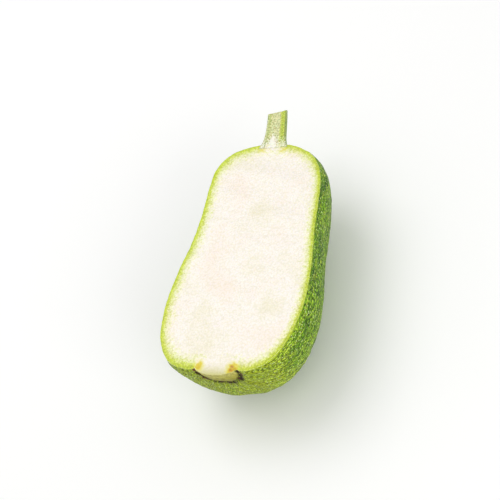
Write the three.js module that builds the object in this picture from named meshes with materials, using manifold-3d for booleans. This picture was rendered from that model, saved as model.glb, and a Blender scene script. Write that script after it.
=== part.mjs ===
// Sponge gourd: one half of a short, blunt fruit cut lengthwise through its stem.
// It lies on its rind with the cut face up. Millimetres, +Z up.
// +Y runs from the blossom end to the stem, +X across the cut face.
import * as THREE from "three";
import { mergeVertices } from "three/addons/utils/BufferGeometryUtils.js";
import Module from "manifold-3d";

// ---- Driving dimensions -------------------------------------------------

// Fruit without its stem.
const HALF_LENGTH = 83.2;
// Half-widths that steer the outline from the blossom end to the stem end.
const WIDTH_CONTROLS = [45.5, 66, 16, 66.5];
// Depth of the lowest line under the cut face.
const DEPTH = 62;
// The widest line lies this share of the half-width under the cut face.
const CUT_OFFSET = 0.28;
// Bow of the long axis towards -X: even part and part that grows to the stem.
const BOW = 3.5;
const SWAY = 3.2;

// How the two ends round off: a larger station power keeps the sides parallel
// for longer, a smaller end power makes the end blunter.
const BLOSSOM_END = { power: 0.175, widthStation: 2.5, depthStation: 3.2 };
const STEM_END = { power: 0.485, widthStation: 3.0, depthStation: 2.45 };

// Scar at the blossom end: a low domed knob inside a shallow groove.
const KNOB_RADIUS = 14.5;
const KNOB_RISE = 3.6;
const GROOVE_RADIUS = 15;
const GROOVE_WIDTH = 1.6;
const GROOVE_DEPTH = 0.8;

// Small natural flat on the belly that the half rests on.
const REST_FLAT = 0.35;

// Stem stub: its seat on the fruit, its length and its taper.
const STEM_SEAT_Y = 82.0;
const STEM_GAP = 0.3;
const STEM_TIP = new THREE.Vector2(-2.6, 111);
const STEM_BASE_X = 0.6;
const STEM_RADIUS = 7.4;
const STEM_TAPER = 0.6;
const STEM_FLARE = 2.6;
const STEM_FLARE_LENGTH = 5;
const STEM_CUT_OFFSET = 0.1;

// Mesh fineness.
const FRUIT_AROUND = 64;
const FRUIT_ALONG = 60;
const STEM_AROUND = 32;
const STEM_ALONG = 10;

// Side of the blocks that stand in for the knife and the table.
const BLOCK = 400;

// ---- Solids -------------------------------------------------------------

const wasm = await Module();
wasm.setup();

function solidFrom(geometry) {
  const bare = geometry.clone();
  bare.deleteAttribute("normal");
  bare.deleteAttribute("uv");
  const merged = mergeVertices(bare, 1e-3);
  return new wasm.Manifold(
    new wasm.Mesh({
      numProp: 3,
      vertProperties: merged.attributes.position.array,
      triVerts: new Uint32Array(merged.index.array),
    }),
  );
}

function geometryFrom(solid) {
  const mesh = solid.getMesh();
  const geometry = new THREE.BufferGeometry();
  geometry.setAttribute(
    "position",
    new THREE.BufferAttribute(mesh.vertProperties, 3),
  );
  geometry.setIndex(new THREE.BufferAttribute(mesh.triVerts, 1));
  geometry.computeVertexNormals();
  return geometry;
}

// A large block whose centre lies half its side away from the point, along the
// direction: it fills everything beyond the plane through the point.
function blockBeyond(point, direction) {
  const centre = point.clone().addScaledVector(direction, BLOCK / 2);
  const block = new THREE.BoxGeometry(BLOCK, BLOCK, BLOCK);
  block.translate(centre.x, centre.y, centre.z);
  return solidFrom(block);
}

// ---- Fruit --------------------------------------------------------------

// Cubic Bernstein blend of the four controls; station runs from -1 to 1.
function halfWidth(station) {
  const t = (station + 1) / 2;
  const u = 1 - t;
  const [a, b, c, d] = WIDTH_CONTROLS;
  return a * u * u * u + 3 * b * t * u * u + 3 * c * t * t * u + d * t * t * t;
}

function bow(station) {
  const even = BOW * (0.4 - station * station);
  const growing = SWAY * (0.6 * station - station ** 3);
  return even + growing;
}

// How far the blossom end stands out at a distance from the middle of its scar.
function scarRise(distance) {
  const share = Math.min(distance / KNOB_RADIUS, 1);
  const knob = KNOB_RISE * (1 - share * share);
  const off = (distance - GROOVE_RADIUS) / GROOVE_WIDTH;
  return knob - GROOVE_DEPTH * Math.exp(-off * off);
}

// Moves a point of the unit sphere, poles along Y, onto the whole gourd.
// Each ring of the sphere becomes an ellipse across the fruit, and the ring's
// own radius is the share of the width that is left so near the end.
function placeOnFruit(point) {
  const ring = Math.min(Math.hypot(point.x, point.z), 1);
  const end = point.y < 0 ? BLOSSOM_END : STEM_END;
  const run = (1 - ring ** (1 / end.power)) ** (1 / end.widthStation);
  const station = point.y < 0 ? -run : run;
  const width = halfWidth(station) * ring;
  const depth = DEPTH * (1 - run ** end.depthStation) ** end.power;
  const axisDepth = CUT_OFFSET * width;
  const height = depth - axisDepth;
  const across = ring > 1e-9 ? point.x / ring : 0;
  const up = ring > 1e-9 ? point.z / ring : 0;
  const x = width * across;
  const z = height * up - axisDepth;
  const rise = point.y < 0 ? scarRise(Math.hypot(x, z)) * (1 - ring) ** 0.25 : 0;
  point.set(bow(station) + x, HALF_LENGTH * station - rise, z);
}

// Moves a point of the unit cylinder, axis along Y, onto the whole stem stub.
const stemBase = new THREE.Vector2(STEM_BASE_X, STEM_SEAT_Y + STEM_GAP);
const stemPath = new THREE.QuadraticBezierCurve(
  stemBase,
  new THREE.Vector2(STEM_BASE_X, stemBase.y + 11),
  STEM_TIP,
);

function placeOnStem(point) {
  const t = point.y + 0.5;
  const centre = stemPath.getPoint(t);
  const along = stemPath.getTangent(t);
  const run = (centre.y - stemBase.y) / STEM_FLARE_LENGTH;
  const flare = STEM_FLARE * Math.exp(-run);
  const radius = STEM_RADIUS - STEM_TAPER * t + flare;
  const across = radius * point.x;
  point.set(
    centre.x + along.y * across,
    centre.y - along.x * across,
    radius * (point.z - STEM_CUT_OFFSET),
  );
}

function movedBy(geometry, place) {
  const position = geometry.getAttribute("position");
  const point = new THREE.Vector3();
  for (let i = 0; i < position.count; i += 1) {
    point.fromBufferAttribute(position, i);
    place(point);
    position.setXYZ(i, point.x, point.y, point.z);
  }
  return geometry;
}

const wholeFruit = solidFrom(
  movedBy(new THREE.SphereGeometry(1, FRUIT_AROUND, FRUIT_ALONG), placeOnFruit),
);
const wholeStem = solidFrom(
  movedBy(
    new THREE.CylinderGeometry(1, 1, 1, STEM_AROUND, STEM_ALONG),
    placeOnStem,
  ),
);

const aboveCut = blockBeyond(new THREE.Vector3(0, 0, 0), new THREE.Vector3(0, 0, 1));
const underRest = blockBeyond(
  new THREE.Vector3(0, 0, REST_FLAT - DEPTH),
  new THREE.Vector3(0, 0, -1),
);
const beyondSeat = blockBeyond(
  new THREE.Vector3(0, STEM_SEAT_Y, 0),
  new THREE.Vector3(0, 1, 0),
);

const halfFruit = wholeFruit
  .subtract(aboveCut)
  .subtract(underRest)
  .subtract(beyondSeat);
const halfStem = wholeStem.subtract(aboveCut);

// ---- Scene graph --------------------------------------------------------

const rindGreen = new THREE.MeshStandardMaterial({
  color: 0x67823a,
  roughness: 0.5,
  metalness: 0,
});
const stemGreen = new THREE.MeshStandardMaterial({
  color: 0xc8d285,
  roughness: 0.65,
  metalness: 0,
});

const gourdHalf = new THREE.Mesh(geometryFrom(halfFruit), rindGreen);
gourdHalf.name = "gourd_half";

const stem = new THREE.Mesh(geometryFrom(halfStem), stemGreen);
stem.name = "stem";

const sponge_gourd = new THREE.Group();
sponge_gourd.name = "sponge_gourd";
sponge_gourd.add(gourdHalf, stem);

// The origin is under the middle of the whole part, on the surface it lies on.
const box = new THREE.Box3().setFromObject(sponge_gourd);
const middle = box.getCenter(new THREE.Vector3());
gourdHalf.position.set(-middle.x, -middle.y, -box.min.z);
stem.position.copy(gourdHalf.position);

export default sponge_gourd;
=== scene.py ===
"""Sponge gourd: one lengthwise half of a short, blunt fruit on its rind, cut face up."""

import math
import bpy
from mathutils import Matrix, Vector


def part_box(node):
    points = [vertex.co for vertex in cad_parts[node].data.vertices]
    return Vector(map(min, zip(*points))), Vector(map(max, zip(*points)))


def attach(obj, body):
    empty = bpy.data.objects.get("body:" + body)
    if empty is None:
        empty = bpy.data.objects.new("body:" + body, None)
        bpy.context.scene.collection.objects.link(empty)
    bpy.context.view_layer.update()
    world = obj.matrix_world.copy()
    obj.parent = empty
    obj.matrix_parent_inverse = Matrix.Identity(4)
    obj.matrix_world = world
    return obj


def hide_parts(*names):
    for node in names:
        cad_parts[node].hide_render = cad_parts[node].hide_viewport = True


bl_info = {
    "name": "Sponge Gourd Half",
    "version": (1, 0, 0),
    "blender": (4, 5, 0),
    "location": "3D View > Sidebar > Sponge Gourd",
    "description": "Builds a halved sponge gourd with its stem stub, and a plain studio around it",
    "category": "Add Mesh",
}

import bmesh
import bpy
import numpy as np
from bpy.props import FloatProperty, FloatVectorProperty, IntProperty, PointerProperty
from mathutils import Matrix, Vector

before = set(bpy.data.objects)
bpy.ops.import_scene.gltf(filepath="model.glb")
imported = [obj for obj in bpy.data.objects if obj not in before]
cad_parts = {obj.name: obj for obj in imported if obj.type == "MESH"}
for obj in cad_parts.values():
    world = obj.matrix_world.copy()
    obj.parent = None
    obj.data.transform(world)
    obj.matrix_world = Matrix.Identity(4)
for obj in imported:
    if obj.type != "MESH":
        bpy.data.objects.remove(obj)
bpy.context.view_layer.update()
FRUIT_LOW, FRUIT_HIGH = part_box("gourd_half")
STEM_LOW, STEM_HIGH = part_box("stem")

MM = 0.001


# ---- Colours -------------------------------------------------------------


def linear(code):
    """An sRGB hex code such as "#67823a" as linear red, green, blue and alpha."""
    parts = [int(code[i : i + 2], 16) / 255 for i in (1, 3, 5)]
    return tuple(
        c / 12.92 if c <= 0.04045 else ((c + 0.055) / 1.055) ** 2.4 for c in parts
    ) + (1.0,)


def colour(name, code, words):
    """A colour setting whose default is the hex code."""
    return FloatVectorProperty(
        name=name,
        description=words,
        subtype="COLOR",
        size=4,
        min=0,
        max=1,
        default=linear(code),
    )


def length(name, millimetres, words):
    """A length setting in metres, with its default given in millimetres."""
    return FloatProperty(
        name=name,
        description=words,
        subtype="DISTANCE",
        unit="LENGTH",
        default=millimetres * MM,
        precision=4,
    )


# ---- Settings ------------------------------------------------------------


class GourdSizes(bpy.types.PropertyGroup):
    half_length: length("Half length", 83.2, "Half the fruit's length without its stem")
    depth: length("Depth", 62, "Depth of the lowest line under the cut face")
    cut_offset: FloatProperty(
        name="Cut offset",
        description="Depth of the widest line under the cut, as a share of half-width",
        subtype="FACTOR",
        default=0.28,
        min=0,
        max=0.4,
    )
    bow: length("Bow", 3.5, "Even part of the sideways bow of the long axis")
    sway: length("Sway", 3.2, "Part of the bow that grows towards the stem")
    rest_flat: length("Rest flat", 0.35, "How far the belly is flattened where it rests")
    knob_radius: length("Knob radius", 14, "Radius of the knob in the blossom-end scar")
    knob_rise: length("Knob rise", 3.6, "How far that knob stands out")
    stem_radius: length("Stem radius", 7.4, "Radius of the stem stub above its flare")
    rings: IntProperty(
        name="Rings", description="Rings along the fruit", default=290, min=60, max=400
    )
    columns: IntProperty(
        name="Columns", description="Columns around the rind", default=196, min=40, max=300
    )


class GourdColours(bpy.types.PropertyGroup):
    rind_dark: colour("Rind dark", "#37620a", "Dark green of the mottled rind")
    rind_mid: colour("Rind middle", "#6b9516", "Leaf green of the rind")
    rind_light: colour("Rind light", "#b4c83c", "Yellow-green streaks of the rind")
    rind_tip: colour("Rind tip", "#8c9a1a", "Rind round the blossom-end scar")
    rim: colour("Rim", "#bfd22c", "Cut edge of the rind")
    flesh: colour("Flesh", "#f8f1ea", "Moist flesh of the cut face")
    cork: colour("Cork", "#d6c01c", "Corky tissue at the blossom-end scar")
    # Crevice: nearly black painted shade in the knob's groove, mixed with its dry tissue.
    crevice_shade_and_dry: colour("Crevice", "#2a1c10", "Dry crevice round the knob")
    stem_skin: colour("Stem skin", "#8fab4a", "Outside of the stem stub")
    stem_pith: colour("Stem pith", "#dddfa8", "Pith in the middle of the cut stem")


class StageSettings(bpy.types.PropertyGroup):
    azimuth: FloatProperty(
        name="Azimuth",
        description="Camera direction round the gourd, from the blossom end",
        default=41.61,
    )
    elevation: FloatProperty(
        name="Elevation", description="Camera height over the cut face", default=49.04
    )
    roll: FloatProperty(
        name="Roll", description="Turn of the camera about its own axis", default=-35.5
    )
    distance: length("Distance", 609.4, "Camera distance to the cut face")
    lens: FloatProperty(
        name="Lens", description="Focal length in millimetres", default=70, min=20
    )
    floor: colour("Floor", "#f9f9f8", "Plain pale floor")


# ---- Shape of the fruit --------------------------------------------------

# Half-widths in millimetres that steer the outline from blossom end to stem.
WIDTH_CONTROLS = (45.5, 66, 16, 66.5)
# End power, then station powers of the width and the depth.
BLOSSOM_END = (0.175, 2.5, 3.2)
STEM_END = (0.485, 3.0, 2.45)
STEM_SEAT_Y = 82.0
GROOVE_RADIUS = 14.0
GROOVE_WIDTH = 0.9
GROOVE_DEPTH = 1.1
COLLAR_RADIUS = 19.0
COLLAR_WIDTH = 3.6
COLLAR_RISE = 0.7
# Radius in millimetres at which the rind's markings keep their true width.
GIRTH_RADIUS = 48


def half_width(station):
    """Cubic Bernstein blend of the four width controls; station runs from -1 to 1."""
    t = (station + 1) / 2
    u = 1 - t
    a, b, c, d = WIDTH_CONTROLS
    return a * u**3 + 3 * b * t * u**2 + 3 * c * t**2 * u + d * t**3


def bow_at(station, sizes):
    """Sideways place of the long axis: an even arch plus a part that grows to the stem."""
    even = sizes.bow / MM * (0.4 - station**2)
    return even + sizes.sway / MM * (0.6 * station - station**3)


def run_of(ring, end):
    """Station of a ring whose share of the width is `ring`: (1 - ring^(1/e))^(1/n)."""
    return (1 - ring ** (1 / end[0])) ** (1 / end[1])


def ring_stations(sizes):
    """Ring shares and stations, evenly spaced along the outline.

    A dense run of polar angles gives share = sin(angle) and its station; the
    outline's length is added up, counted three times over round the scar's
    groove, and cut into equal steps. The last value is the plain length in mm.
    """
    angle = np.linspace(0, np.pi, 8001)
    share = np.clip(np.sin(angle), 0, 1)
    share[[0, -1]] = 0
    blossom = -run_of(share, BLOSSOM_END)
    stem = run_of(share, STEM_END)
    station = np.where(angle < np.pi / 2, blossom, stem)
    width = half_width(station) * share
    step = np.hypot(np.diff(width), np.diff(station * sizes.half_length / MM))
    middle = (width[1:] + width[:-1]) / 2
    near = np.exp(-(((middle - GROOVE_RADIUS) / 5) ** 2)) * (angle[1:] < np.pi / 2)
    run = np.concatenate([[0], np.cumsum(step * (1 + 2.2 * near))])
    plain = np.concatenate([[0], np.cumsum(step)])
    even = np.linspace(0, run[-1], sizes.rings + 1)
    found = np.interp(even, run, angle)
    share = np.clip(np.sin(found), 0, 1)
    share[[0, -1]] = 0
    half = found < np.pi / 2
    station = np.where(half, -run_of(share, BLOSSOM_END), run_of(share, STEM_END))
    return share, station, np.interp(even, run, plain)


def waves(points, size, count, seed):
    """Smooth seeded noise: the mean of `count` sine waves of random direction.

    Their wavelengths lie within a quarter of `size`, in the points' unit.
    """
    draw = np.random.default_rng(seed)
    direction = draw.normal(size=(count, 3))
    direction /= np.linalg.norm(direction, axis=1)[:, None]
    wave = 2 * np.pi / (size * draw.uniform(0.75, 1.25, count))
    phase = draw.uniform(0, 2 * np.pi, count)
    total = np.zeros(points.shape[:-1])
    for k in range(count):
        total += np.sin(points @ (direction[k] * wave[k]) + phase[k])
    return total / math.sqrt(count)


def scar_rise(distance, below, sizes):
    """How far the blossom end stands out at a distance from the scar's middle.

    A low dome, less a narrow groove round it that closes up towards the cut,
    plus a soft collar beyond.
    """
    share = np.minimum(distance / (sizes.knob_radius / MM), 1)
    knob = sizes.knob_rise / MM * (1 - share**2.2)
    off = (distance - GROOVE_RADIUS) / GROOVE_WIDTH
    out = (distance - COLLAR_RADIUS) / COLLAR_WIDTH
    groove = GROOVE_DEPTH * (0.35 + 0.65 * np.clip(below / 3, 0, 1))
    return knob - groove * np.exp(-(off**2)) + COLLAR_RISE * np.exp(-(out**2))


def outward(points):
    """Unit normals of a grid of points: the cross product of its two slopes."""
    along = np.gradient(points, axis=0)
    around = np.gradient(points, axis=1)
    normal = np.cross(around, along)
    size = np.linalg.norm(normal, axis=-1, keepdims=True)
    return normal / np.maximum(size, 1e-9)


def rind_grid(sizes):
    """Points of the rind in millimetres, as rings by columns, and what paints it.

    Each ring is an ellipse arc from the right cut edge, under the fruit, to the
    left one: x = bow + width cos(a), z = -(offset + height sin(a)). The blossom
    end then moves out by the scar's rise, and the whole surface by slow waves.
    """
    share, station, arc = ring_stations(sizes)
    width = half_width(station) * share
    end = np.where(station < 0, BLOSSOM_END[0], STEM_END[0])
    deep = np.where(station < 0, BLOSSOM_END[2], STEM_END[2])
    depth = sizes.depth / MM * (1 - np.abs(station) ** deep) ** end
    offset = sizes.cut_offset * width
    height = np.maximum(depth - offset, 1e-6)
    edge = np.arcsin(np.clip(offset / height, 0, 0.9))
    edge[[0, -1]] = edge[[1, -2]]
    u = np.linspace(0, 1, sizes.columns + 1)
    angle = -edge[:, None] + (np.pi + 2 * edge[:, None]) * u
    axis = bow_at(station, sizes)
    across = width[:, None] * np.cos(angle)
    z = -(offset[:, None] + height[:, None] * np.sin(angle))
    y = np.repeat(sizes.half_length / MM * station[:, None], len(u), axis=1)
    points = np.stack([axis[:, None] + across, y, z], axis=-1)
    # The scar reaches a fifth further down than across.
    flat = np.hypot(across, 0.8 * z)
    at_blossom = (station < 0)[:, None] & (flat < 40)
    near_end = np.clip((-0.9 - station) / 0.08, 0, 1)[:, None]
    turn = np.arctan2(z, across)
    lobes = 0.035 * np.sin(3 * turn) + 0.02 * np.sin(7 * turn) - 0.03 * np.cos(turn)
    uneven = flat * (1 + lobes)
    uneven += 0.28 * waves(points, 3.6, 18, 15) * np.clip(flat / 6, 0, 1)
    uneven = np.maximum(uneven, 0)
    rise = np.where(at_blossom, scar_rise(uneven, -z, sizes), 0) * near_end
    points[..., 1] -= rise
    # Rind drawn into shallow pleats that fan out from the groove.
    pleat_room = np.exp(-(((flat - 23) / 6.5) ** 2)) * near_end
    pleats = np.sin(21 * turn + 1.5 * np.sin(4 * turn)) * 0.42 * pleat_room
    # Slow dents of the whole body, then lengthwise ribs too soft to count.
    body = waves(points, 46, 12, 3) * 0.38 + waves(points, 15, 16, 4) * 0.14
    ribs = 0.22 * np.cos(10 * angle + 0.7) * share[:, None] ** 2
    lumps = waves(points, 5.2, 24, 5) * 0.11
    normal = outward(points)
    normal[0] = (0, -1, 0)
    normal[-1] = (0, 1, 0)
    calm = np.clip(flat / 16, 0, 1) ** 2
    calm = np.where((station < 0)[:, None], calm, np.clip(share[:, None] / 0.3, 0, 1))
    move = (body + ribs + lumps) * calm + pleats
    points = points + normal * move[..., None]
    points[:, 0, 2] = 0
    points[:, -1, 2] = 0
    points[[0, -1], :, 2] = 0
    floor = sizes.rest_flat / MM - sizes.depth / MM
    points[..., 2] = np.maximum(points[..., 2], floor)
    return points, share, station, arc, angle, uneven + 1e3 * (near_end == 0)


def grid_faces(start, rows, columns):
    """Quads of a grid whose points are numbered row by row from `start`."""
    i = np.arange(rows - 1)[:, None] * columns + np.arange(columns - 1)[None, :] + start
    return np.stack([i, i + 1, i + columns + 1, i + columns], axis=-1).reshape(-1, 4)


def distance_to_outline(points, outline):
    """Least distance from each point of a grid to the outline's points, in the plane."""
    found = np.empty(points.shape[:2])
    for column in range(points.shape[1]):
        gap = points[:, column, None, :2] - outline[None, :, :2]
        found[:, column] = np.sqrt((gap**2).sum(-1).min(1))
    return found


def cut_grid(edge, spine, columns):
    """Points of one side of the cut face, from its edge to the spine.

    point = edge + t^1.8 (spine - edge), so that steps are finest at the rim.
    """
    t = (np.arange(columns + 1) / columns) ** 1.8
    return edge[:, None] + t[None, :, None] * (spine - edge)[:, None]


def cut_relief(points, rim):
    """Height of the cut face: the rind's edge stands a little proud of the flesh."""
    step = 1 - np.exp(-((rim / 1.6) ** 2))
    soft = waves(points, 21, 14, 8) * 0.16 + waves(points, 6, 22, 9) * 0.05
    return -0.28 * step + soft * np.clip(rim / 6, 0, 1)


def closing_grid(loop, middle, steps):
    """Rings that shrink from a closed loop of points to its middle."""
    share = np.linspace(0, 1, steps)[:, None, None]
    return loop[None] + share * (middle - loop)[None]


def loop_faces(start, rings, count):
    """Quads of rings that close on themselves, numbered ring by ring from `start`."""
    here = np.arange(count)
    after = (here + 1) % count
    first = np.arange(rings - 1)[:, None] * count + start
    corners = [first + here, first + after, first + after + count, first + here + count]
    return np.stack(corners, axis=-1).reshape(-1, 4)


def flatten(*grids):
    """The points of all grids, one after the other."""
    return np.concatenate([g.reshape(-1, g.shape[-1]) for g in grids])


def new_mesh(name, points, faces):
    """A mesh object at the origin from points in metres and faces by index."""
    mesh = bpy.data.meshes.new(name)
    mesh.from_pydata(points.tolist(), [], faces)
    mesh.validate()
    made = bpy.data.objects.new(name, mesh)
    bpy.context.scene.collection.objects.link(made)
    return made


def paint(piece, name, values):
    """Stores one number for each point under `name`, for a material to read."""
    held = piece.data.attributes.new(name, "FLOAT", "POINT")
    held.data.foreach_set("value", np.asarray(values, np.float32).ravel())


def paint_place(piece, name, values):
    """Stores a place in millimetres for each point under `name`."""
    held = piece.data.attributes.new(name, "FLOAT_VECTOR", "POINT")
    held.data.foreach_set("vector", np.asarray(values, np.float32).ravel())


def spot(points, x, y, wide, tall):
    """A soft spot in the plane: exp of minus the squared distance in spot sizes."""
    a = (points[..., 0] - x) / wide
    b = (points[..., 1] - y) / tall
    return np.exp(-(a**2) - b**2)


# ---- Materials -----------------------------------------------------------


def shade(value):
    """A node colour from a hex code, a grey level or a colour setting."""
    if isinstance(value, str):
        return linear(value)
    if isinstance(value, (int, float)):
        return (value, value, value, 1.0)
    return tuple(value)


def add(tree, kind, links, out=0, stops=(), **settings):
    """Adds a node and gives back one of its outputs.

    `links` sets inputs to a value or to the output that feeds them, `stops` are
    the (place, colour) pairs of a ramp, and `settings` are the node's own.
    """
    made = tree.nodes.new(kind)
    for name, value in settings.items():
        setattr(made, name, value)
    for index, (place, value) in enumerate(stops):
        keys = made.color_ramp.elements
        key = keys[index] if index < 2 else keys.new(place)
        key.position = place
        key.color = shade(value)
    for key, value in links.items():
        if isinstance(value, bpy.types.NodeSocket):
            tree.links.new(value, made.inputs[key])
        else:
            made.inputs[key].default_value = value
    return made.outputs[out] if made.outputs else made


# Short names for the node kinds that the materials use.
RAMP = "ShaderNodeValToRGB"
MIX = "ShaderNodeMix"
MATH = "ShaderNodeMath"
SCALE = "ShaderNodeVectorMath"
NOISE = "ShaderNodeTexNoise"
CELLS = "ShaderNodeTexVoronoi"
PAINTED = "ShaderNodeAttribute"
BUMP = "ShaderNodeBump"
PLACE = "ShaderNodeTexCoord"
SHADER = "ShaderNodeBsdfPrincipled"
OUTPUT = "ShaderNodeOutputMaterial"
COLOURS = {"data_type": "RGBA", "blend_type": "MIX"}
TIMES = {"data_type": "RGBA", "blend_type": "MULTIPLY"}


def fresh_material(name):
    """An empty node material and its tree."""
    material = bpy.data.materials.new(name)
    material.use_nodes = True
    material.node_tree.nodes.clear()
    return material, material.node_tree


def rind_material(colours):
    """Gourd rind: a thin waxy skin, leaf green with darker mottling, yellow-green
    lengthwise streaks and pale hair roots. It gives a soft, broken sheen."""
    material, tree = fresh_material("gourd_rind")
    here = add(tree, PLACE, {}, "Object")
    place = add(tree, PAINTED, {}, "Vector", attribute_name="rind_place")
    tip = add(tree, PAINTED, {}, "Fac", attribute_name="tip")
    # Mottles about 9 mm wide and 22 mm long.
    broad = add(tree, SCALE, {0: place, 1: (1 / 9, 1 / 22, 1)}, operation="MULTIPLY")
    mottle = add(tree, NOISE, {"Vector": broad, "Scale": 1, "Detail": 5, "Roughness": 0.62})
    mottle = add(tree, RAMP, {"Fac": mottle}, stops=[(0.38, 0), (0.6, 1)])
    dark, mid = shade(colours.rind_dark), shade(colours.rind_mid)
    body = add(tree, MIX, {0: mottle, 6: dark, 7: mid}, 2, **COLOURS)
    # Wavy streaks about 1.3 mm wide and 12 mm long, denser towards the scar.
    long = add(tree, SCALE, {0: place, 1: (1 / 1.3, 1 / 12, 1)}, operation="MULTIPLY")
    streak = add(
        tree,
        NOISE,
        {"Vector": long, "Scale": 1, "Detail": 4, "Roughness": 0.6, "Distortion": 1.6},
    )
    more = add(tree, MATH, {0: tip, 1: 0.1, 2: streak}, operation="MULTIPLY_ADD")
    streak = add(tree, RAMP, {"Fac": more}, stops=[(0.53, 0), (0.62, 0.9)])
    light = shade(colours.rind_light)
    body = add(tree, MIX, {0: streak, 6: body, 7: light}, 2, **COLOURS)
    # Bolder wavy streaks, 2.6 mm wide and 34 mm long, on the blossom half only.
    bold = add(tree, SCALE, {0: place, 1: (1 / 2.6, 1 / 34, 1)}, operation="MULTIPLY")
    bold = add(tree, NOISE, {"Vector": bold, "Scale": 1, "Detail": 3, "Distortion": 1.2})
    bold = add(tree, RAMP, {"Fac": bold}, stops=[(0.56, 0), (0.63, 0.85)])
    run = add(tree, "ShaderNodeSeparateXYZ", {0: place}, "Y")
    run = add(tree, MATH, {0: run, 1: -0.018, 2: 1.8}, operation="MULTIPLY_ADD", use_clamp=True)
    bold = add(tree, MATH, {0: bold, 1: run}, operation="MULTIPLY")
    body = add(tree, MIX, {0: bold, 6: body, 7: light}, 2, **COLOURS)
    # Rind round the scar: yellow-green, with green lines that run out of it.
    lines = add(tree, SCALE, {0: place, 1: (1 / 2.4, 1 / 15, 1)}, operation="MULTIPLY")
    lines = add(tree, NOISE, {"Vector": lines, "Scale": 1, "Detail": 5, "Distortion": 0.9})
    lines = add(tree, RAMP, {"Fac": lines}, stops=[(0.4, 0.1), (0.56, 1)])
    tipped = add(tree, MATH, {0: tip, 1: lines}, operation="MULTIPLY")
    yellow = shade(colours.rind_tip)
    body = add(tree, MIX, {0: tipped, 6: body, 7: yellow}, 2, **COLOURS)
    # Grain 1.1 mm wide and 1.8 mm long: dark pits and, at cell middles, hair roots.
    fine = add(tree, SCALE, {0: place, 1: (1 / 1.1, 1 / 1.8, 1)}, operation="MULTIPLY")
    grain = add(tree, NOISE, {"Vector": fine, "Scale": 1, "Detail": 4, "Roughness": 0.75})
    pits = add(tree, RAMP, {"Fac": grain}, stops=[(0.4, 0.2), (0.5, 0.8), (0.59, 1.9)])
    body = add(tree, MIX, {0: 1.0, 6: body, 7: pits}, 2, **TIMES)
    cell = add(tree, CELLS, {"Vector": here, "Scale": 620}, "Distance")
    some = add(tree, NOISE, {"Vector": here, "Scale": 260, "Detail": 3})
    some = add(tree, RAMP, {"Fac": some}, stops=[(0.42, 0.1), (0.56, 1)])
    dots = add(tree, RAMP, {"Fac": cell}, stops=[(0.14, 0.95), (0.36, 0)])
    dots = add(tree, MATH, {0: dots, 1: some}, operation="MULTIPLY")
    hair = linear("#cadf94")
    body = add(tree, MIX, {0: dots, 6: body, 7: hair}, 2, **COLOURS)
    # The cut edge of the rind, seen from outside.
    edge = add(tree, PAINTED, {}, "Fac", attribute_name="edge")
    edge = add(tree, RAMP, {"Fac": edge}, stops=[(0, 1), (0.35, 0.8), (1, 0)])
    rim = shade(colours.rim)
    body = add(tree, MIX, {0: edge, 6: body, 7: rim}, 2, **COLOURS)
    # The knob: cream at the cut, olive below, with faint yellow lines.
    low = add(tree, PAINTED, {}, "Fac", attribute_name="knob_depth")
    face = [(0, "#d8d58c"), (0.2, "#c9c76c"), (0.5, "#b0ae46"), (0.95, "#8b8c38")]
    face = add(tree, RAMP, {"Fac": low}, stops=face)
    worn = add(tree, NOISE, {"Vector": here, "Scale": 520, "Detail": 4, "Roughness": 0.65})
    worn = add(tree, RAMP, {"Fac": worn}, stops=[(0.35, "#b0a24a"), (0.6, "#fffbe0")])
    face = add(tree, MIX, {0: 0.7, 6: face, 7: worn}, 2, **TIMES)
    knob = add(tree, PAINTED, {}, "Fac", attribute_name="knob")
    body = add(tree, MIX, {0: knob, 6: body, 7: face}, 2, **COLOURS)
    # The crevice round it: ragged, nearly black painted shade in the groove, mixed with dry brown
    # tissue.
    crevice_shade_and_dry = add(tree, PAINTED, {}, "Fac", attribute_name="crevice_shade_and_dry")
    torn = add(tree, NOISE, {"Vector": here, "Scale": 480, "Detail": 3, "Roughness": 0.7})
    torn = add(tree, RAMP, {"Fac": torn}, stops=[(0.38, 0.25), (0.52, 1.6)])
    torn = add(tree, MATH, {0: crevice_shade_and_dry, 1: torn}, operation="MULTIPLY", use_clamp=True)
    dry_and_shade = add(tree, NOISE, {"Vector": here, "Scale": 260, "Detail": 3})
    brown = [(0.42, colours.crevice_shade_and_dry), (0.58, "#4d2f1c"), (0.72, "#8a5a38")]
    dry_and_shade = add(tree, RAMP, {"Fac": dry_and_shade}, stops=brown)
    body = add(tree, MIX, {0: torn, 6: body, 7: dry_and_shade}, 2, **COLOURS)
    gloss = add(tree, NOISE, {"Vector": here, "Scale": 500, "Detail": 3})
    gloss = add(tree, RAMP, {"Fac": gloss}, stops=[(0.3, 0.42), (0.7, 0.66)])
    relief = add(tree, MATH, {0: grain, 1: cell}, operation="SUBTRACT")
    bump = add(tree, BUMP, {"Height": relief, "Distance": 0.0005, "Strength": 0.8})
    links = {"Base Color": body, "Roughness": gloss, "Normal": bump}
    links.update({"IOR": 1.45, "Specular IOR Level": 0.2})
    add(tree, OUTPUT, {"Surface": add(tree, SHADER, links)})
    return material


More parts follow.
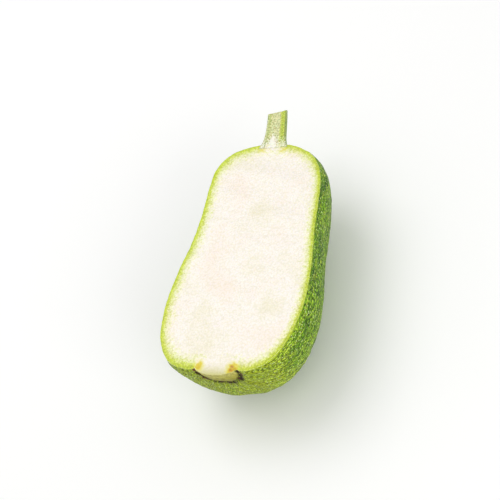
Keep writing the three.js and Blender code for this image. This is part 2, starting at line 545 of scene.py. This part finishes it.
def flesh_material(colours):
    """Cut gourd flesh: wet, spongy parenchyma. Light sinks into it, so it looks
    cream-white with soft shading and pin-point glints; greener beside the rind."""
    material, tree = fresh_material("gourd_flesh")
    here = add(tree, PLACE, {}, "Object")
    rim = add(tree, PAINTED, {}, "Fac", attribute_name="rim")
    wander = add(tree, NOISE, {"Vector": here, "Scale": 560, "Detail": 3, "Roughness": 0.8})
    wander = add(tree, MATH, {0: wander, 1: 2.8, 2: -0.4}, operation="MULTIPLY_ADD")
    place = add(tree, MATH, {0: rim, 1: wander}, operation="MULTIPLY")
    bands = [
        (0.0, colours.rim),
        (0.15, "#cfde3a"),
        (0.27, "#e0e97c"),
        (0.46, "#eef0bd"),
        (0.75, "#f8f4dc"),
        (1.0, colours.flesh),
    ]
    tone = add(tree, RAMP, {"Fac": place}, stops=bands)
    # Slow clouds 30 mm across: a little greener here, pinker there.
    cloud = add(tree, NOISE, {"Vector": here, "Scale": 32, "Detail": 3})
    hues = [(0.34, "#f8f8ec"), (0.5, 1), (0.68, "#fff9f6")]
    cloud = add(tree, RAMP, {"Fac": cloud}, stops=hues)
    tone = add(tree, MIX, {0: 1.0, 6: tone, 7: cloud}, 2, **TIMES)
    # Cells 1.2 mm apart with slightly darker walls, stronger beside the rind.
    cell = add(tree, CELLS, {"Vector": here, "Scale": 800}, "Distance")
    walls = add(tree, RAMP, {"Fac": cell}, stops=[(0.3, 1), (0.75, "#d9dbae")])
    near = add(tree, RAMP, {"Fac": place}, stops=[(0.15, 0.95), (0.7, 0.4), (1, 0.28)])
    tone = add(tree, MIX, {0: near, 6: tone, 7: walls}, 2, **TIMES)
    # The tongue of flesh fades to olive where it meets the knob.
    tongue = add(tree, PAINTED, {}, "Fac", attribute_name="tongue")
    olive = linear("#c9c67c")
    tone = add(tree, MIX, {0: tongue, 6: tone, 7: olive}, 2, **COLOURS)
    # Corky tissue: yellow where thin, orange-brown where thick.
    stain = add(tree, PAINTED, {}, "Fac", attribute_name="stain")
    torn = add(tree, NOISE, {"Vector": here, "Scale": 520, "Detail": 3, "Roughness": 0.7})
    torn = add(tree, MATH, {0: torn, 1: 0.9, 2: 0.55}, operation="MULTIPLY_ADD")
    stain = add(tree, MATH, {0: stain, 1: torn}, operation="MULTIPLY", use_clamp=True)
    cork = [(0.2, "#e4e04a"), (0.6, colours.cork), (1, "#bd8a14")]
    cork = add(tree, RAMP, {"Fac": stain}, stops=cork)
    cover = add(tree, RAMP, {"Fac": stain}, stops=[(0.08, 0), (0.5, 1)])
    tone = add(tree, MIX, {0: cover, 6: tone, 7: cork}, 2, **COLOURS)
    wet = add(tree, NOISE, {"Vector": here, "Scale": 700, "Detail": 3})
    gloss = add(tree, RAMP, {"Fac": wet}, stops=[(0.35, 0.22), (0.65, 0.5)])
    relief = add(tree, MATH, {0: wet, 1: cell}, operation="SUBTRACT")
    bump = add(tree, BUMP, {"Height": relief, "Distance": 0.0003, "Strength": 0.8})
    links = {"Base Color": tone, "Roughness": gloss, "Normal": bump, "IOR": 1.36}
    links.update({"Subsurface Weight": 0.15, "Subsurface Radius": (1.0, 0.85, 0.55)})
    links.update({"Subsurface Scale": 0.003, "Coat Weight": 0.25, "Coat Roughness": 0.12})
    add(tree, OUTPUT, {"Surface": add(tree, SHADER, links)})
    return material


def stem_skin_material(colours):
    """Green stalk skin: matt, ridged and finely hairy."""
    material, tree = fresh_material("stalk_skin")
    place = add(tree, PAINTED, {}, "Vector", attribute_name="stem_place")
    # Fibres 1.1 mm wide and 14 mm long, and grain of 0.8 mm.
    long = add(tree, SCALE, {0: place, 1: (1 / 1.1, 1 / 14, 1)}, operation="MULTIPLY")
    fibre = add(tree, NOISE, {"Vector": long, "Scale": 1, "Detail": 4, "Roughness": 0.6})
    green = [(0.32, "#5f7a2c"), (0.5, colours.stem_skin), (0.68, "#c3cf7c")]
    tone = add(tree, RAMP, {"Fac": fibre}, stops=green)
    grain = add(tree, NOISE, {"Vector": place, "Scale": 1.2, "Detail": 2, "Roughness": 0.7})
    fleck = add(tree, RAMP, {"Fac": grain}, stops=[(0.36, 0.6), (0.6, 1.1)])
    tone = add(tree, MIX, {0: 1.0, 6: tone, 7: fleck}, 2, **TIMES)
    bump = add(tree, BUMP, {"Height": fibre, "Distance": 0.0004, "Strength": 0.8})
    links = {"Base Color": tone, "Roughness": 0.62, "Normal": bump}
    add(tree, OUTPUT, {"Surface": add(tree, SHADER, links)})
    return material


def stem_cut_material(colours):
    """Cut stalk: pale fibrous pith between two greener bands of cortex."""
    material, tree = fresh_material("stalk_cut")
    across = add(tree, PAINTED, {}, "Fac", attribute_name="stem_across")
    place = add(tree, PAINTED, {}, "Vector", attribute_name="stem_place")
    # Fibres 1.2 mm wide and 8 mm long shift the bands; grain of 1.2 mm breaks them.
    long = add(tree, SCALE, {0: place, 1: (1 / 1.2, 1 / 8, 1)}, operation="MULTIPLY")
    fibre = add(tree, NOISE, {"Vector": long, "Scale": 1, "Detail": 3, "Roughness": 0.65})
    grain = add(tree, NOISE, {"Vector": place, "Scale": 0.8, "Detail": 3, "Roughness": 0.8})
    shift = add(tree, MATH, {0: fibre, 1: 0.14, 2: across}, operation="MULTIPLY_ADD")
    shift = add(tree, MATH, {0: grain, 1: 0.3, 2: shift}, operation="MULTIPLY_ADD")
    shift = add(tree, MATH, {0: shift, 1: 0.22}, operation="SUBTRACT")
    bands = [
        (0.0, "#93ab46"),
        (0.05, "#dfe5b4"),
        (0.13, "#b9c771"),
        (0.2, "#d5d99c"),
        (0.26, colours.stem_pith),
        (0.66, "#dfe0b2"),
        (0.72, "#dbe27a"),
        (0.8, "#b7cd3c"),
        (0.91, "#cfdc62"),
        (0.97, "#6c8440"),
    ]
    tone = add(tree, RAMP, {"Fac": shift}, stops=bands)
    fleck = [(0.4, "#b4b98c"), (0.5, "#f1f0e2"), (0.58, 1.18)]
    fleck = add(tree, RAMP, {"Fac": grain}, stops=fleck)
    tone = add(tree, MIX, {0: 0.85, 6: tone, 7: fleck}, 2, **TIMES)
    # Towards the seat the stalk pales into the flesh along a whitish streak.
    pale = add(tree, PAINTED, {}, "Fac", attribute_name="stem_pale")
    pale = add(tree, MATH, {0: grain, 1: 1.2, 2: pale}, operation="MULTIPLY_ADD")
    pale = add(tree, RAMP, {"Fac": pale}, stops=[(0.75, 0), (1, 0.9)])
    cream = linear("#fbf8ec")
    tone = add(tree, MIX, {0: pale, 6: tone, 7: cream}, 2, **COLOURS)
    relief = add(tree, MATH, {0: fibre, 1: grain}, operation="ADD")
    bump = add(tree, BUMP, {"Height": relief, "Distance": 0.0005, "Strength": 0.8})
    links = {"Base Color": tone, "Roughness": 0.6, "Normal": bump}
    links.update({"Subsurface Weight": 0.1, "Subsurface Scale": 0.001})
    add(tree, OUTPUT, {"Surface": add(tree, SHADER, links)})
    return material


def floor_material(stage):
    """Matt card: an even pale sheet that takes soft shadows and no reflection."""
    material, tree = fresh_material("pale_card")
    links = {"Base Color": shade(stage.floor), "Roughness": 0.9}
    add(tree, OUTPUT, {"Surface": add(tree, SHADER, links)})
    return material


# ---- Pieces --------------------------------------------------------------


def row_frame(points, sizes):
    """Millimetres from the middle of the cut to metres in the row frame.

    The seat of the stem, the cut plane and the sides line up with the CAD box.
    """
    station = np.linspace(-1, 1, 2001)
    end = np.where(station < 0, BLOSSOM_END[0], STEM_END[0])
    power = np.where(station < 0, BLOSSOM_END[1], STEM_END[1])
    width = half_width(station) * (1 - np.abs(station) ** power) ** end
    axis = bow_at(station, sizes)
    middle = ((axis + width).max() + (axis - width).min()) / 2
    base = np.array(
        [
            (FRUIT_LOW.x + FRUIT_HIGH.x) / 2 - middle * MM,
            FRUIT_HIGH.y - STEM_SEAT_Y * MM,
            FRUIT_HIGH.z,
        ]
    )
    return points * MM + base


# Steps of the cut face from its edge to the spine, and the spine's reach as a
# share of the half length.
CUT_STEPS = 38
SPINE_REACH = 0.55
# Outline distance in millimetres that stands for "far from the cut face".
FAR = 50.0
# Corky stains of the cut face: middle, half-width and half-height in
# millimetres, then strength. Two sit beside the knob and two beside the stem.
CORK_STAINS = (
    (-11.6, -81.2, 3.2, 4.0, 0.75),
    (10.8, -82.4, 3.6, 4.2, 1.1),
    (-6.6, 79.2, 3.6, 2.8, 0.42),
    (8.8, 78.0, 3.6, 2.8, 0.46),
)


def band_width(points):
    """Width in mm of the green band of flesh beside the rind.

    6.5, plus up to 4 towards the blossom end, 2 towards the left side and 2.5
    on the shoulder, each growing evenly with the distance.
    """
    blossom = np.clip((-60 - points[:, 1]) / 18, 0, 1)
    left = np.clip((10 - points[:, 0]) / 40, 0, 1)
    shoulder = np.clip((points[:, 1] - 55) / 15, 0, 1)
    return 6.5 + 4.0 * blossom + 2.0 * left + 2.5 * shoulder


def on_knob(points):
    """1 where flesh runs out into the scar's knob, falling evenly to 0 round it."""
    inside = np.clip((14.5 - np.abs(points[:, 0] + 0.4)) / 2, 0, 1)
    return inside * np.clip((-75 - points[:, 1]) / 3, 0, 1)


def under_stem(points):
    """1 where flesh runs up into the stem, falling evenly to 0 round it."""
    neck = np.clip((9.5 - np.abs(points[:, 0] - 1)) / 2.5, 0, 1)
    return neck * np.clip((points[:, 1] - 77) / 2, 0, 1)


def paint_flesh(piece, first, points, rim):
    """Paints the cut face, whose points start at number `first`.

    `rim` is the distance to the outline over the green band's width, `tongue`
    grows as distance^1.3 towards the knob, `stain` is a sum of soft spots.
    """
    knob = on_knob(points)
    rim[first:] /= band_width(points)
    rim[first:] += 1.2 * knob + 0.5 * under_stem(points)
    paint(piece, "rim", rim)
    fade = knob * np.clip((-78 - points[:, 1]) / 8.5, 0, 1) ** 1.3
    paint(piece, "tongue", np.concatenate([np.zeros(first), fade]))
    stain = sum(
        strength * spot(points, x, y, wide, tall)
        for x, y, wide, tall, strength in CORK_STAINS
    )
    uneven = 0.85 + 0.2 * waves(points, 3.0, 20, 11)
    stain = np.clip(stain * uneven, 0, 1.3)
    paint(piece, "stain", np.concatenate([np.zeros(first), stain]))


def paint_rind(piece, rind, parts, rest):
    """Paints the rind; `rest` is how many points of the mesh are not rind.

    `tip` fades over 28 mm of outline, `knob` fills the scar's groove, the
    crevice mask, painted shade in the groove with its dry tissue, is exp of minus
    the squared distance from the groove, wider outside and below it, and `edge`
    is the distance along the ring from the cut.
    """
    share, station, arc, angle, flat = parts

    def keep(name, values):
        paint(piece, name, np.concatenate([values.ravel(), np.zeros(rest)]))

    near = np.clip((56 - arc) / 28, 0, 1)[:, None] * np.ones(rind.shape[1])
    keep("tip", near * near * (3 - 2 * near))
    keep("knob", np.clip((GROOVE_RADIUS - 0.4 - flat) / 0.9, 0, 1))
    low = np.clip(-rind[..., 2] / 14, 0, 1)
    keep("knob_depth", low)
    rough = 0.95 + 0.35 * waves(rind, 4.2, 20, 12)
    off = flat - GROOVE_RADIUS
    # The crevice mask paints dark shade into the groove and past it, further outside and below the
    # dome, where the groove itself is hidden.
    reach = np.where(off > 0, 0.9 + 1.2 * np.clip(low * 2, 0, 1), 0.9)
    keep("crevice_shade_and_dry", np.clip(np.exp(-((off / reach) ** 2)) * rough, 0, 1))
    edge = np.minimum(angle - angle[:, :1], angle[:, -1:] - angle)
    keep("edge", edge * half_width(station)[:, None] * share[:, None])
    run = arc[:, None] + 0 * angle
    place = np.stack([angle * GIRTH_RADIUS, run, 0 * angle], axis=-1)
    place = np.concatenate([place.reshape(-1, 3), np.zeros((rest, 3))])
    paint_place(piece, "rind_place", place)


class OBJECT_OT_gourd_half(bpy.types.Operator):
    """Builds the halved fruit: rind, cut flesh and the blossom-end scar"""

    bl_idname = "object.gourd_half"
    bl_label = "Fruit half"

    def execute(self, context):
        sizes = context.scene.gourd_sizes
        colours = context.scene.gourd_colours
        rind, *parts = rind_grid(sizes)
        rows, columns = rind.shape[:2]
        station = np.linspace(-SPINE_REACH, SPINE_REACH, rows)
        along = sizes.half_length / MM * station
        spine = np.stack([bow_at(station, sizes), along, np.zeros(rows)], axis=-1)
        outline = np.concatenate([rind[:, 0], rind[::-1, -1]])
        right = cut_grid(rind[:, 0], spine, CUT_STEPS)
        left = cut_grid(rind[:, -1], spine, CUT_STEPS)
        rims = []
        for side in (right, left):
            rim = distance_to_outline(side, outline)
            side[..., 2] = cut_relief(side, rim)
            side[:, 0, 2] = 0
            rims.append(rim.ravel())
        first_right = rows * columns
        first_left = first_right + rows * (CUT_STEPS + 1)
        rind_faces = grid_faces(0, rows, columns)
        right_faces = grid_faces(first_right, rows, CUT_STEPS + 1)[:, ::-1]
        left_faces = grid_faces(first_left, rows, CUT_STEPS + 1)
        faces = np.concatenate([rind_faces, right_faces, left_faces])
        points = row_frame(flatten(rind, right, left), sizes)
        piece = new_mesh("sponge_gourd_half", points, faces.tolist())
        is_flesh = np.arange(len(faces)) >= len(rind_faces)
        piece.data.polygons.foreach_set("material_index", is_flesh.astype(np.int32))
        flesh = flatten(right, left)
        rim = np.concatenate([np.full(first_right, FAR), *rims])
        paint_flesh(piece, first_right, flesh, rim)
        paint_rind(piece, rind, parts, len(flesh))
        piece.data.materials.append(rind_material(colours))
        piece.data.materials.append(flesh_material(colours))
        join_doubles(piece)
        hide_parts("gourd_half")
        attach(piece, "root")
        return {"FINISHED"}


def join_doubles(piece, gap=1e-6):
    """Merges points that share a place, shades smooth and keeps the rim sharp."""
    work = bmesh.new()
    work.from_mesh(piece.data)
    bmesh.ops.remove_doubles(work, verts=work.verts, dist=gap)
    bmesh.ops.dissolve_degenerate(work, edges=work.edges, dist=gap / 10)
    work.to_mesh(piece.data)
    work.free()
    piece.data.polygons.foreach_set("use_smooth", [True] * len(piece.data.polygons))
    piece.data.set_sharp_from_angle(angle=math.radians(55))


# Rings that close each end of the stem stub.
CAP_RINGS = 12


def stem_path(t):
    """Centre and direction of the stem stub: a quadratic curve from seat to tip."""
    start = np.array([0.6, 80.2])
    bend = np.array([0.6, 92.0])
    tip = np.array([-2.6, 111.0])
    t = t[:, None]
    centre = start * (1 - t) ** 2 + bend * 2 * t * (1 - t) + tip * t**2
    along = (bend - start) * (1 - t) + (tip - bend) * t
    return centre, along / np.linalg.norm(along, axis=1)[:, None]


class OBJECT_OT_gourd_stem(bpy.types.Operator):
    """Builds the halved stem stub with its ridged skin and cut face"""

    bl_idname = "object.gourd_stem"
    bl_label = "Stem stub"

    def execute(self, context):
        sizes = context.scene.gourd_sizes
        colours = context.scene.gourd_colours
        rows, around, across = 70, 56, 40
        t = np.linspace(0, 1, rows)
        centre, along = stem_path(t)
        run = (centre[:, 1] - STEM_SEAT_Y) / 5
        base = sizes.stem_radius / MM
        radius = base - 0.5 * t + 2.4 * np.exp(-np.maximum(run, -0.2))
        angle = np.linspace(-0.1, np.pi + 0.1, around)
        ridge = 1 + 0.035 * np.cos(9 * angle)[None, :] + 0 * t[:, None]
        reach = radius[:, None] * ridge
        offset = reach * np.cos(angle)
        z = -reach * (np.sin(angle) + 0.1)
        z[:, [0, -1]] = 0
        side = np.stack([along[:, 1], -along[:, 0]], axis=-1)
        skin = np.concatenate(
            [centre[:, None] + offset[..., None] * side[:, None], z[..., None]], axis=-1
        )
        share = np.linspace(0, 1, across)
        cut = skin[:, :1] + share[None, :, None] * (skin[:, -1:] - skin[:, :1])
        dip = np.exp(-(((share - 0.27) / 0.03) ** 2)) + np.exp(
            -(((share - 0.73) / 0.03) ** 2)
        )
        cut[..., 2] = -0.3 * dip + 0.08 * waves(cut * (1, 0.25, 1), 2.2, 16, 21)
        cut[:, [0, -1], 2] = 0
        ends = []
        for k in (-1, 0):
            loop = np.concatenate([skin[k], cut[k, ::-1][1:-1]])
            middle = np.array([centre[k, 0], centre[k, 1], -0.45 * radius[k]])
            ends.append(closing_grid(loop, middle, CAP_RINGS))
        tip, root = ends
        inward = np.linspace(0, 1, CAP_RINGS)[:, None]
        tip[..., 1] += 0.25 * waves(tip, 2.5, 16, 22) * inward
        points = flatten(skin, cut, tip, root)
        first_cut = rows * around
        first_tip = first_cut + rows * across
        first_root = first_tip + tip[..., 0].size
        skin_faces = grid_faces(0, rows, around)
        cut_faces = grid_faces(first_cut, rows, across)[:, ::-1]
        tip_faces = loop_faces(first_tip, CAP_RINGS, tip.shape[1])
        root_faces = loop_faces(first_root, CAP_RINGS, root.shape[1])[:, ::-1]
        faces = np.concatenate([skin_faces, cut_faces, tip_faces, root_faces])
        piece = new_mesh("stem_stub", row_frame(points, sizes), faces.tolist())
        index = np.zeros(len(faces), np.int32)
        index[len(skin_faces) :] = 1
        piece.data.polygons.foreach_set("material_index", index)
        whole = np.concatenate(
            [
                np.repeat(np.linspace(0, 1, around)[None], rows, 0).ravel(),
                np.repeat(1 - share[None], rows, 0).ravel(),
                np.clip(0.5 + (tip[..., 0] - centre[-1, 0]) / 15, 0, 1).ravel(),
                np.full(root[..., 0].size, 0.5),
            ]
        )
        paint(piece, "stem_across", whole)
        seat = np.clip(1 - (cut[..., 1] - STEM_SEAT_Y) / 11, 0, 1)
        streak = np.exp(-(((1 - share - 0.42) / 0.1) ** 2))
        seat = seat**0.8 * (0.3 + 0.7 * streak)
        pale = [np.zeros(first_cut), seat.ravel(), np.zeros(2 * tip[..., 0].size)]
        paint(piece, "stem_pale", np.concatenate(pale))
        place = np.concatenate(
            [
                np.stack([angle * 7.5 + 0 * t[:, None], t[:, None] * 30 + 0 * angle], -1)
                .reshape(-1, 2),
                cut.reshape(-1, 3)[:, :2],
                tip.reshape(-1, 3)[:, [0, 2]],
                root.reshape(-1, 3)[:, [0, 2]],
            ]
        )
        place = np.concatenate([place, np.zeros((len(place), 1))], axis=1)
        paint_place(piece, "stem_place", place)
        piece.data.materials.append(stem_skin_material(colours))
        piece.data.materials.append(stem_cut_material(colours))
        join_doubles(piece)
        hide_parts("stem")
        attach(piece, "root")
        return {"FINISHED"}


# ---- Stage ---------------------------------------------------------------


def area_light(name, place, target, side, watts):
    """A square white lamp that faces the target."""
    light = bpy.data.lights.new(name, "AREA")
    light.shape = "SQUARE"
    light.size = side
    light.energy = watts
    lamp = bpy.data.objects.new(name, light)
    bpy.context.scene.collection.objects.link(lamp)
    lamp.location = place
    lamp.rotation_euler = (Vector(target) - Vector(place)).to_track_quat("-Z", "Y").to_euler()


class OBJECT_OT_gourd_stage(bpy.types.Operator):
    """Builds the plain floor, the soft lights and the camera"""

    bl_idname = "object.gourd_stage"
    bl_label = "Stage"

    def execute(self, context):
        stage = context.scene.gourd_stage
        side = 3.0
        mesh = bpy.data.meshes.new("floor")
        corners = [(-side, -side, 0), (side, -side, 0), (side, side, 0), (-side, side, 0)]
        mesh.from_pydata(corners, [], [(0, 1, 2, 3)])
        floor = bpy.data.objects.new("floor", mesh)
        context.scene.collection.objects.link(floor)
        mesh.materials.append(floor_material(stage))
        world = bpy.data.worlds.new("studio_air")
        world.use_nodes = True
        sky = world.node_tree.nodes["Background"]
        sky.inputs["Color"].default_value = (1, 1, 1, 1)
        sky.inputs["Strength"].default_value = 0.7
        context.scene.world = world
        area_light("key", (-0.45, 0.25, 1.1), (0, 0, 0.03), 0.8, 5)
        area_light("fill", (0.95, -0.6, 0.45), (0, 0, 0.03), 0.7, 4.5)
        azimuth, elevation, roll = (
            math.radians(v) for v in (stage.azimuth, stage.elevation, stage.roll)
        )
        back = Vector(
            (
                math.sin(azimuth) * math.cos(elevation),
                -math.cos(azimuth) * math.cos(elevation),
                math.sin(elevation),
            )
        )
        level = Vector((math.cos(azimuth), math.sin(azimuth), 0))
        upright = back.cross(level)
        right = level * math.cos(roll) + upright * math.sin(roll)
        up = back.cross(right)
        origin = Vector(row_frame(np.zeros(3), context.scene.gourd_sizes))
        place = origin + right * 0.00265 - up * 0.00042 + back * stage.distance
        camera = bpy.data.cameras.new("camera")
        camera.lens = stage.lens
        camera.sensor_width = 36
        camera.clip_end = 20
        viewer = bpy.data.objects.new("camera", camera)
        viewer.matrix_world = Matrix(
            (
                (right.x, up.x, back.x, place.x),
                (right.y, up.y, back.y, place.y),
                (right.z, up.z, back.z, place.z),
                (0, 0, 0, 1),
            )
        )
        context.scene.collection.objects.link(viewer)
        context.scene.camera = viewer
        context.scene.view_settings.view_transform = "Standard"
        return {"FINISHED"}


class VIEW3D_PT_sponge_gourd(bpy.types.Panel):
    """Sizes, colours and builders of the sponge gourd"""

    bl_label = "Sponge Gourd"
    bl_space_type = "VIEW_3D"
    bl_region_type = "UI"
    bl_category = "Sponge Gourd"

    def draw(self, context):
        column = self.layout.column()
        for operator in OPERATORS:
            column.operator(operator.bl_idname)
        for name, group in SETTINGS.items():
            box = self.layout.box()
            for prop in group.__annotations__:
                box.prop(getattr(context.scene, name), prop)


OPERATORS = (OBJECT_OT_gourd_stage, OBJECT_OT_gourd_half, OBJECT_OT_gourd_stem)
SETTINGS = {
    "gourd_sizes": GourdSizes,
    "gourd_colours": GourdColours,
    "gourd_stage": StageSettings,
}


def register():
    for group in SETTINGS.values():
        bpy.utils.register_class(group)
    for name, group in SETTINGS.items():
        setattr(bpy.types.Scene, name, PointerProperty(type=group))
    for operator in OPERATORS:
        bpy.utils.register_class(operator)
    bpy.utils.register_class(VIEW3D_PT_sponge_gourd)


def unregister():
    bpy.utils.unregister_class(VIEW3D_PT_sponge_gourd)
    for operator in reversed(OPERATORS):
        bpy.utils.unregister_class(operator)
    for name, group in SETTINGS.items():
        delattr(bpy.types.Scene, name)
        bpy.utils.unregister_class(group)


def main():
    register()
    bpy.ops.object.gourd_stage()
    bpy.ops.object.gourd_half()
    bpy.ops.object.gourd_stem()


if __name__ == "__main__":
    main()
